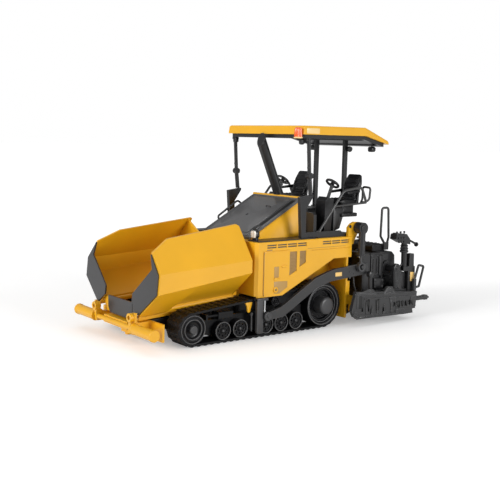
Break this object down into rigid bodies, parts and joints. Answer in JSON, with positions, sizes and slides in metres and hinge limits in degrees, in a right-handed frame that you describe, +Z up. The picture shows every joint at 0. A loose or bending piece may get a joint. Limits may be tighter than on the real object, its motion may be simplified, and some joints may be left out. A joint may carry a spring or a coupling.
{
  "type": "scale model tracked asphalt paver",
  "caption": "Scale model of a tracked road paver with opening hopper wings, push rollers, auger, lifting screed with sliding extensions, and a canopy.",
  "frame": {"origin": "on the floor under the middle of the overall box", "axes": "+X forward towards the push rollers, +Y to the machine's left, +Z up"},
  "size_m": [0.1376, 0.064, 0.0795],
  "materials": {
    "paint_yellow": "gloss enamel",
    "paint_dark": "semi-matt dark grey enamel",
    "plastic_black": "moulded satin black",
    "track_plastic": "moulded matt black",
    "paint_roller": "semi-gloss black",
    "steel_bright": "polished",
    "lens_orange": "tinted",
    "lamp_white": "white face in a black case",
    "seat_black": "satin"
  },
  "bodies": {
    "machine": {"apron": "paint_dark", "beacon": "lens_orange", "bulkhead": "plastic_black", "canopy_liner": "plastic_black", "canopy_posts": "plastic_black", "canopy_roof": "paint_yellow", "centre_console": "plastic_black", "control_stands": "plastic_black", "conveyor": "paint_dark", "drive_wheels": "paint_roller", "handrails": "plastic_black", "hinge_rods": "steel_bright", "hood_cover": "paint_dark", "hood_sides": "paint_yellow", "hopper_floor": "paint_yellow", "idlers": "paint_roller", "lamps": "lamp_white", "lift_ears": "paint_yellow", "main_frame": "plastic_black", "platform": "plastic_black", "push_beam": "paint_yellow", "road_rollers": "paint_roller", "seats": "seat_black", "side_bodies": "paint_yellow", "spreader_plate": "paint_yellow", "stack": "plastic_black", "tow_columns": "paint_dark", "track_frames": "plastic_black", "track_left": "track_plastic", "track_right": "track_plastic", "tractor_core": "paint_yellow"},
    "wing_left": {"wing_left": "paint_yellow", "wing_flap_left": "paint_dark"},
    "wing_right": {"wing_right": "paint_yellow", "wing_flap_right": "paint_dark"},
    "push_roller_left": {"push_roller_left": "paint_yellow"},
    "push_roller_right": {"push_roller_right": "paint_yellow"},
    "auger": {"auger": "plastic_black"},
    "screed": {"tow_arms": "paint_dark", "screed_frame": "paint_dark", "screed_houses": "paint_dark", "screed_walkway": "paint_dark", "grab_loops": "paint_dark"},
    "extension_left": {"extension_left": "paint_dark", "end_gate_left": "paint_dark", "side_console_left": "paint_dark"},
    "extension_right": {"extension_right": "paint_dark", "end_gate_right": "paint_dark", "side_console_right": "paint_dark"},
    "lift_barrel_left": {"lift_barrel_left": "paint_dark"},
    "lift_barrel_right": {"lift_barrel_right": "paint_dark"},
    "lift_rod_left": {"lift_rod_left": "paint_dark"},
    "lift_rod_right": {"lift_rod_right": "paint_dark"}
  },
  "joints": [
    {"name": "wing_left_hinge", "type": "hinge", "parent": "machine", "child": "wing_left", "pos_m": [0.0231, 0.0143, 0.0147], "axis": [-0.9979, 0, 0.0645], "range_deg": [0, 28]},
    {"name": "wing_right_hinge", "type": "hinge", "parent": "machine", "child": "wing_right", "pos_m": [0.0231, -0.0143, 0.0147], "axis": [0.9979, 0, -0.0645], "range_deg": [0, 28]},
    {"name": "push_roller_left_spin", "type": "hinge", "parent": "machine", "child": "push_roller_left", "pos_m": [0.0667, 0.021, 0.007], "axis": [0, 1, 0], "continuous": true},
    {"name": "push_roller_right_spin", "type": "hinge", "parent": "machine", "child": "push_roller_right", "pos_m": [0.0667, -0.021, 0.007], "axis": [0, 1, 0], "continuous": true},
    {"name": "auger_spin", "type": "hinge", "parent": "machine", "child": "auger", "pos_m": [-0.0291, 0, 0.0066], "axis": [0, 1, 0], "continuous": true},
    {"name": "screed_lift", "type": "hinge", "parent": "machine", "child": "screed", "pos_m": [0.017, 0, 0.0084], "axis": [0, 1, 0], "range_deg": [-1.9, 3]},
    {"name": "extension_left_slide", "type": "slide", "parent": "screed", "child": "extension_left", "axis": [0, 1, 0], "range_m": [0, 0.014]},
    {"name": "extension_right_slide", "type": "slide", "parent": "screed", "child": "extension_right", "axis": [0, -1, 0], "range_m": [0, 0.014]},
    {"name": "lift_barrel_left_pivot", "type": "hinge", "parent": "machine", "child": "lift_barrel_left", "pos_m": [-0.0301, 0.028, 0.0394], "axis": [0, -1, 0], "range_deg": [-2.24, 3.52]},
    {"name": "lift_rod_left_slide", "type": "slide", "parent": "lift_barrel_left", "child": "lift_rod_left", "axis": [0.0128, 0, -0.9999], "range_m": [-0.00245, 0.00156]},
    {"name": "lift_barrel_right_pivot", "type": "hinge", "parent": "machine", "child": "lift_barrel_right", "pos_m": [-0.0301, -0.028, 0.0394], "axis": [0, -1, 0], "range_deg": [-2.24, 3.52]},
    {"name": "lift_rod_right_slide", "type": "slide", "parent": "lift_barrel_right", "child": "lift_rod_right", "axis": [0.0128, 0, -0.9999], "range_m": [-0.00245, 0.00156]}
  ],
  "couplings": [
    {"joint": "lift_barrel_left_pivot", "follows": "screed_lift", "ratio": 1.1669},
    {"joint": "lift_rod_left_slide", "follows": "screed_lift", "m_per_rad": -0.046177},
    {"joint": "lift_barrel_right_pivot", "follows": "screed_lift", "ratio": 1.1669},
    {"joint": "lift_rod_right_slide", "follows": "screed_lift", "m_per_rad": -0.046177}
  ]
}
